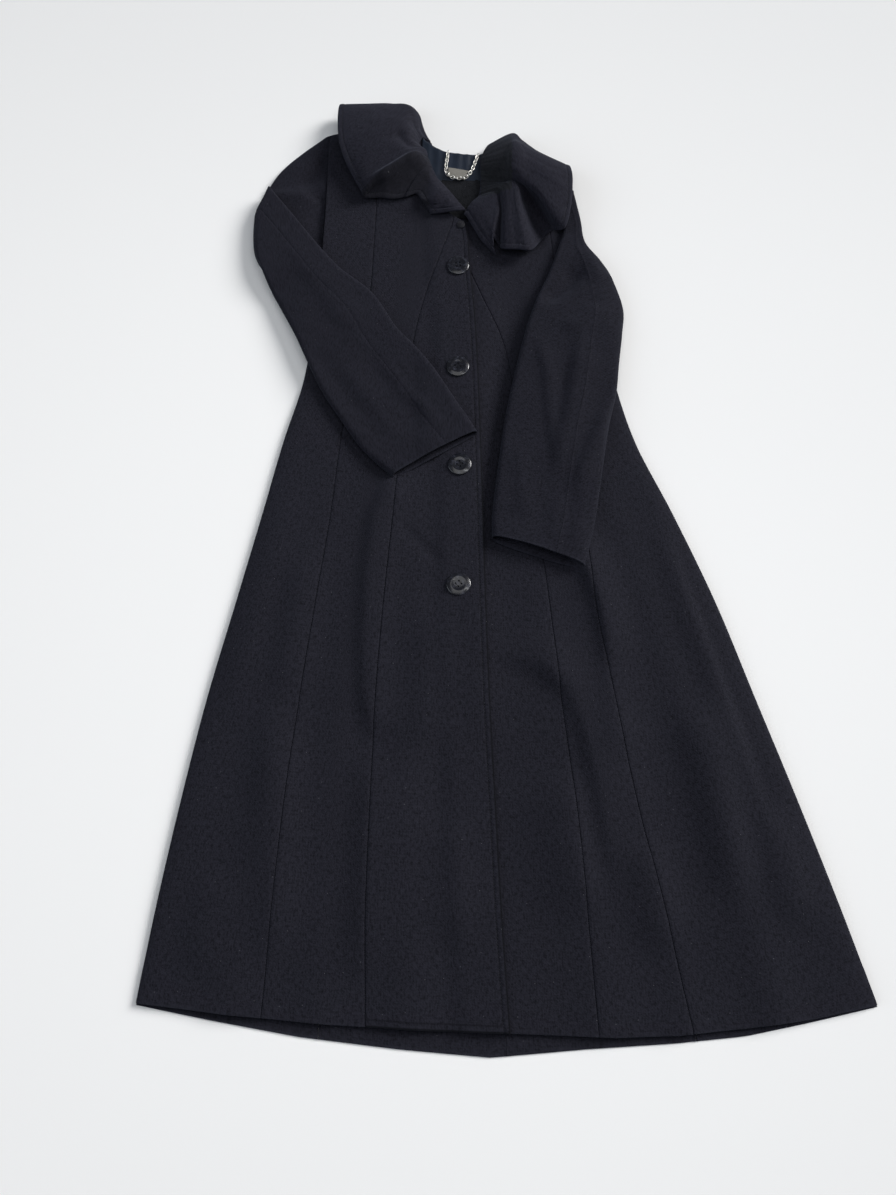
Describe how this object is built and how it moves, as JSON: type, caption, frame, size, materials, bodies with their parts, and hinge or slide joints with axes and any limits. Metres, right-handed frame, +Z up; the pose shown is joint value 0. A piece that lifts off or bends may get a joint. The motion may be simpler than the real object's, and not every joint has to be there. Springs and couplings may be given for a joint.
{
  "type": "long wool coat with ruffled collar, laid flat",
  "caption": "Long A-line princess-cut navy wool coat with a ruffled collar, large buttons, one sleeve folded across the front, laid flat on its back.",
  "frame": {"origin": "centre of the laid coat's outline, on the surface it lies on", "axes": "+Z up from the surface, +Y from the hem towards the neck, +X towards the wearer's left sleeve"},
  "size_m": [0.8035, 1.2704, 0.0425],
  "materials": {
    "navy_wool": "dense matt wool twill, faint weave and nap",
    "collar_wool": "the same wool, single and ruffled, with a stitched edge",
    "lining_satin": "teal-navy satin with a soft sheen",
    "label_cloth": "plain woven tape, no text",
    "button_resin": "polished dark marbled resin",
    "chain_metal": "bright metal chain links"
  },
  "bodies": {
    "root": {"right_front_side": "navy_wool", "right_front_middle": "navy_wool", "right_front_centre": "navy_wool", "left_front_centre": "navy_wool", "left_front_middle": "navy_wool", "left_front_side": "navy_wool", "right_back_side": "navy_wool", "right_back_centre": "navy_wool", "left_back_centre": "navy_wool", "left_back_side": "navy_wool", "right_sleeve_top": "navy_wool", "right_sleeve_under": "navy_wool", "left_sleeve_top": "navy_wool", "left_sleeve_under": "navy_wool", "collar_ruffle_right": "collar_wool", "collar_ruffle_left": "collar_wool", "back_lining": "lining_satin", "neck_label": "label_cloth", "hanger_chain": "chain_metal", "button_1": "button_resin", "button_2": "button_resin", "button_3": "button_resin", "button_4": "button_resin", "neck_snap": "button_resin"}
  },
  "joints": []
}
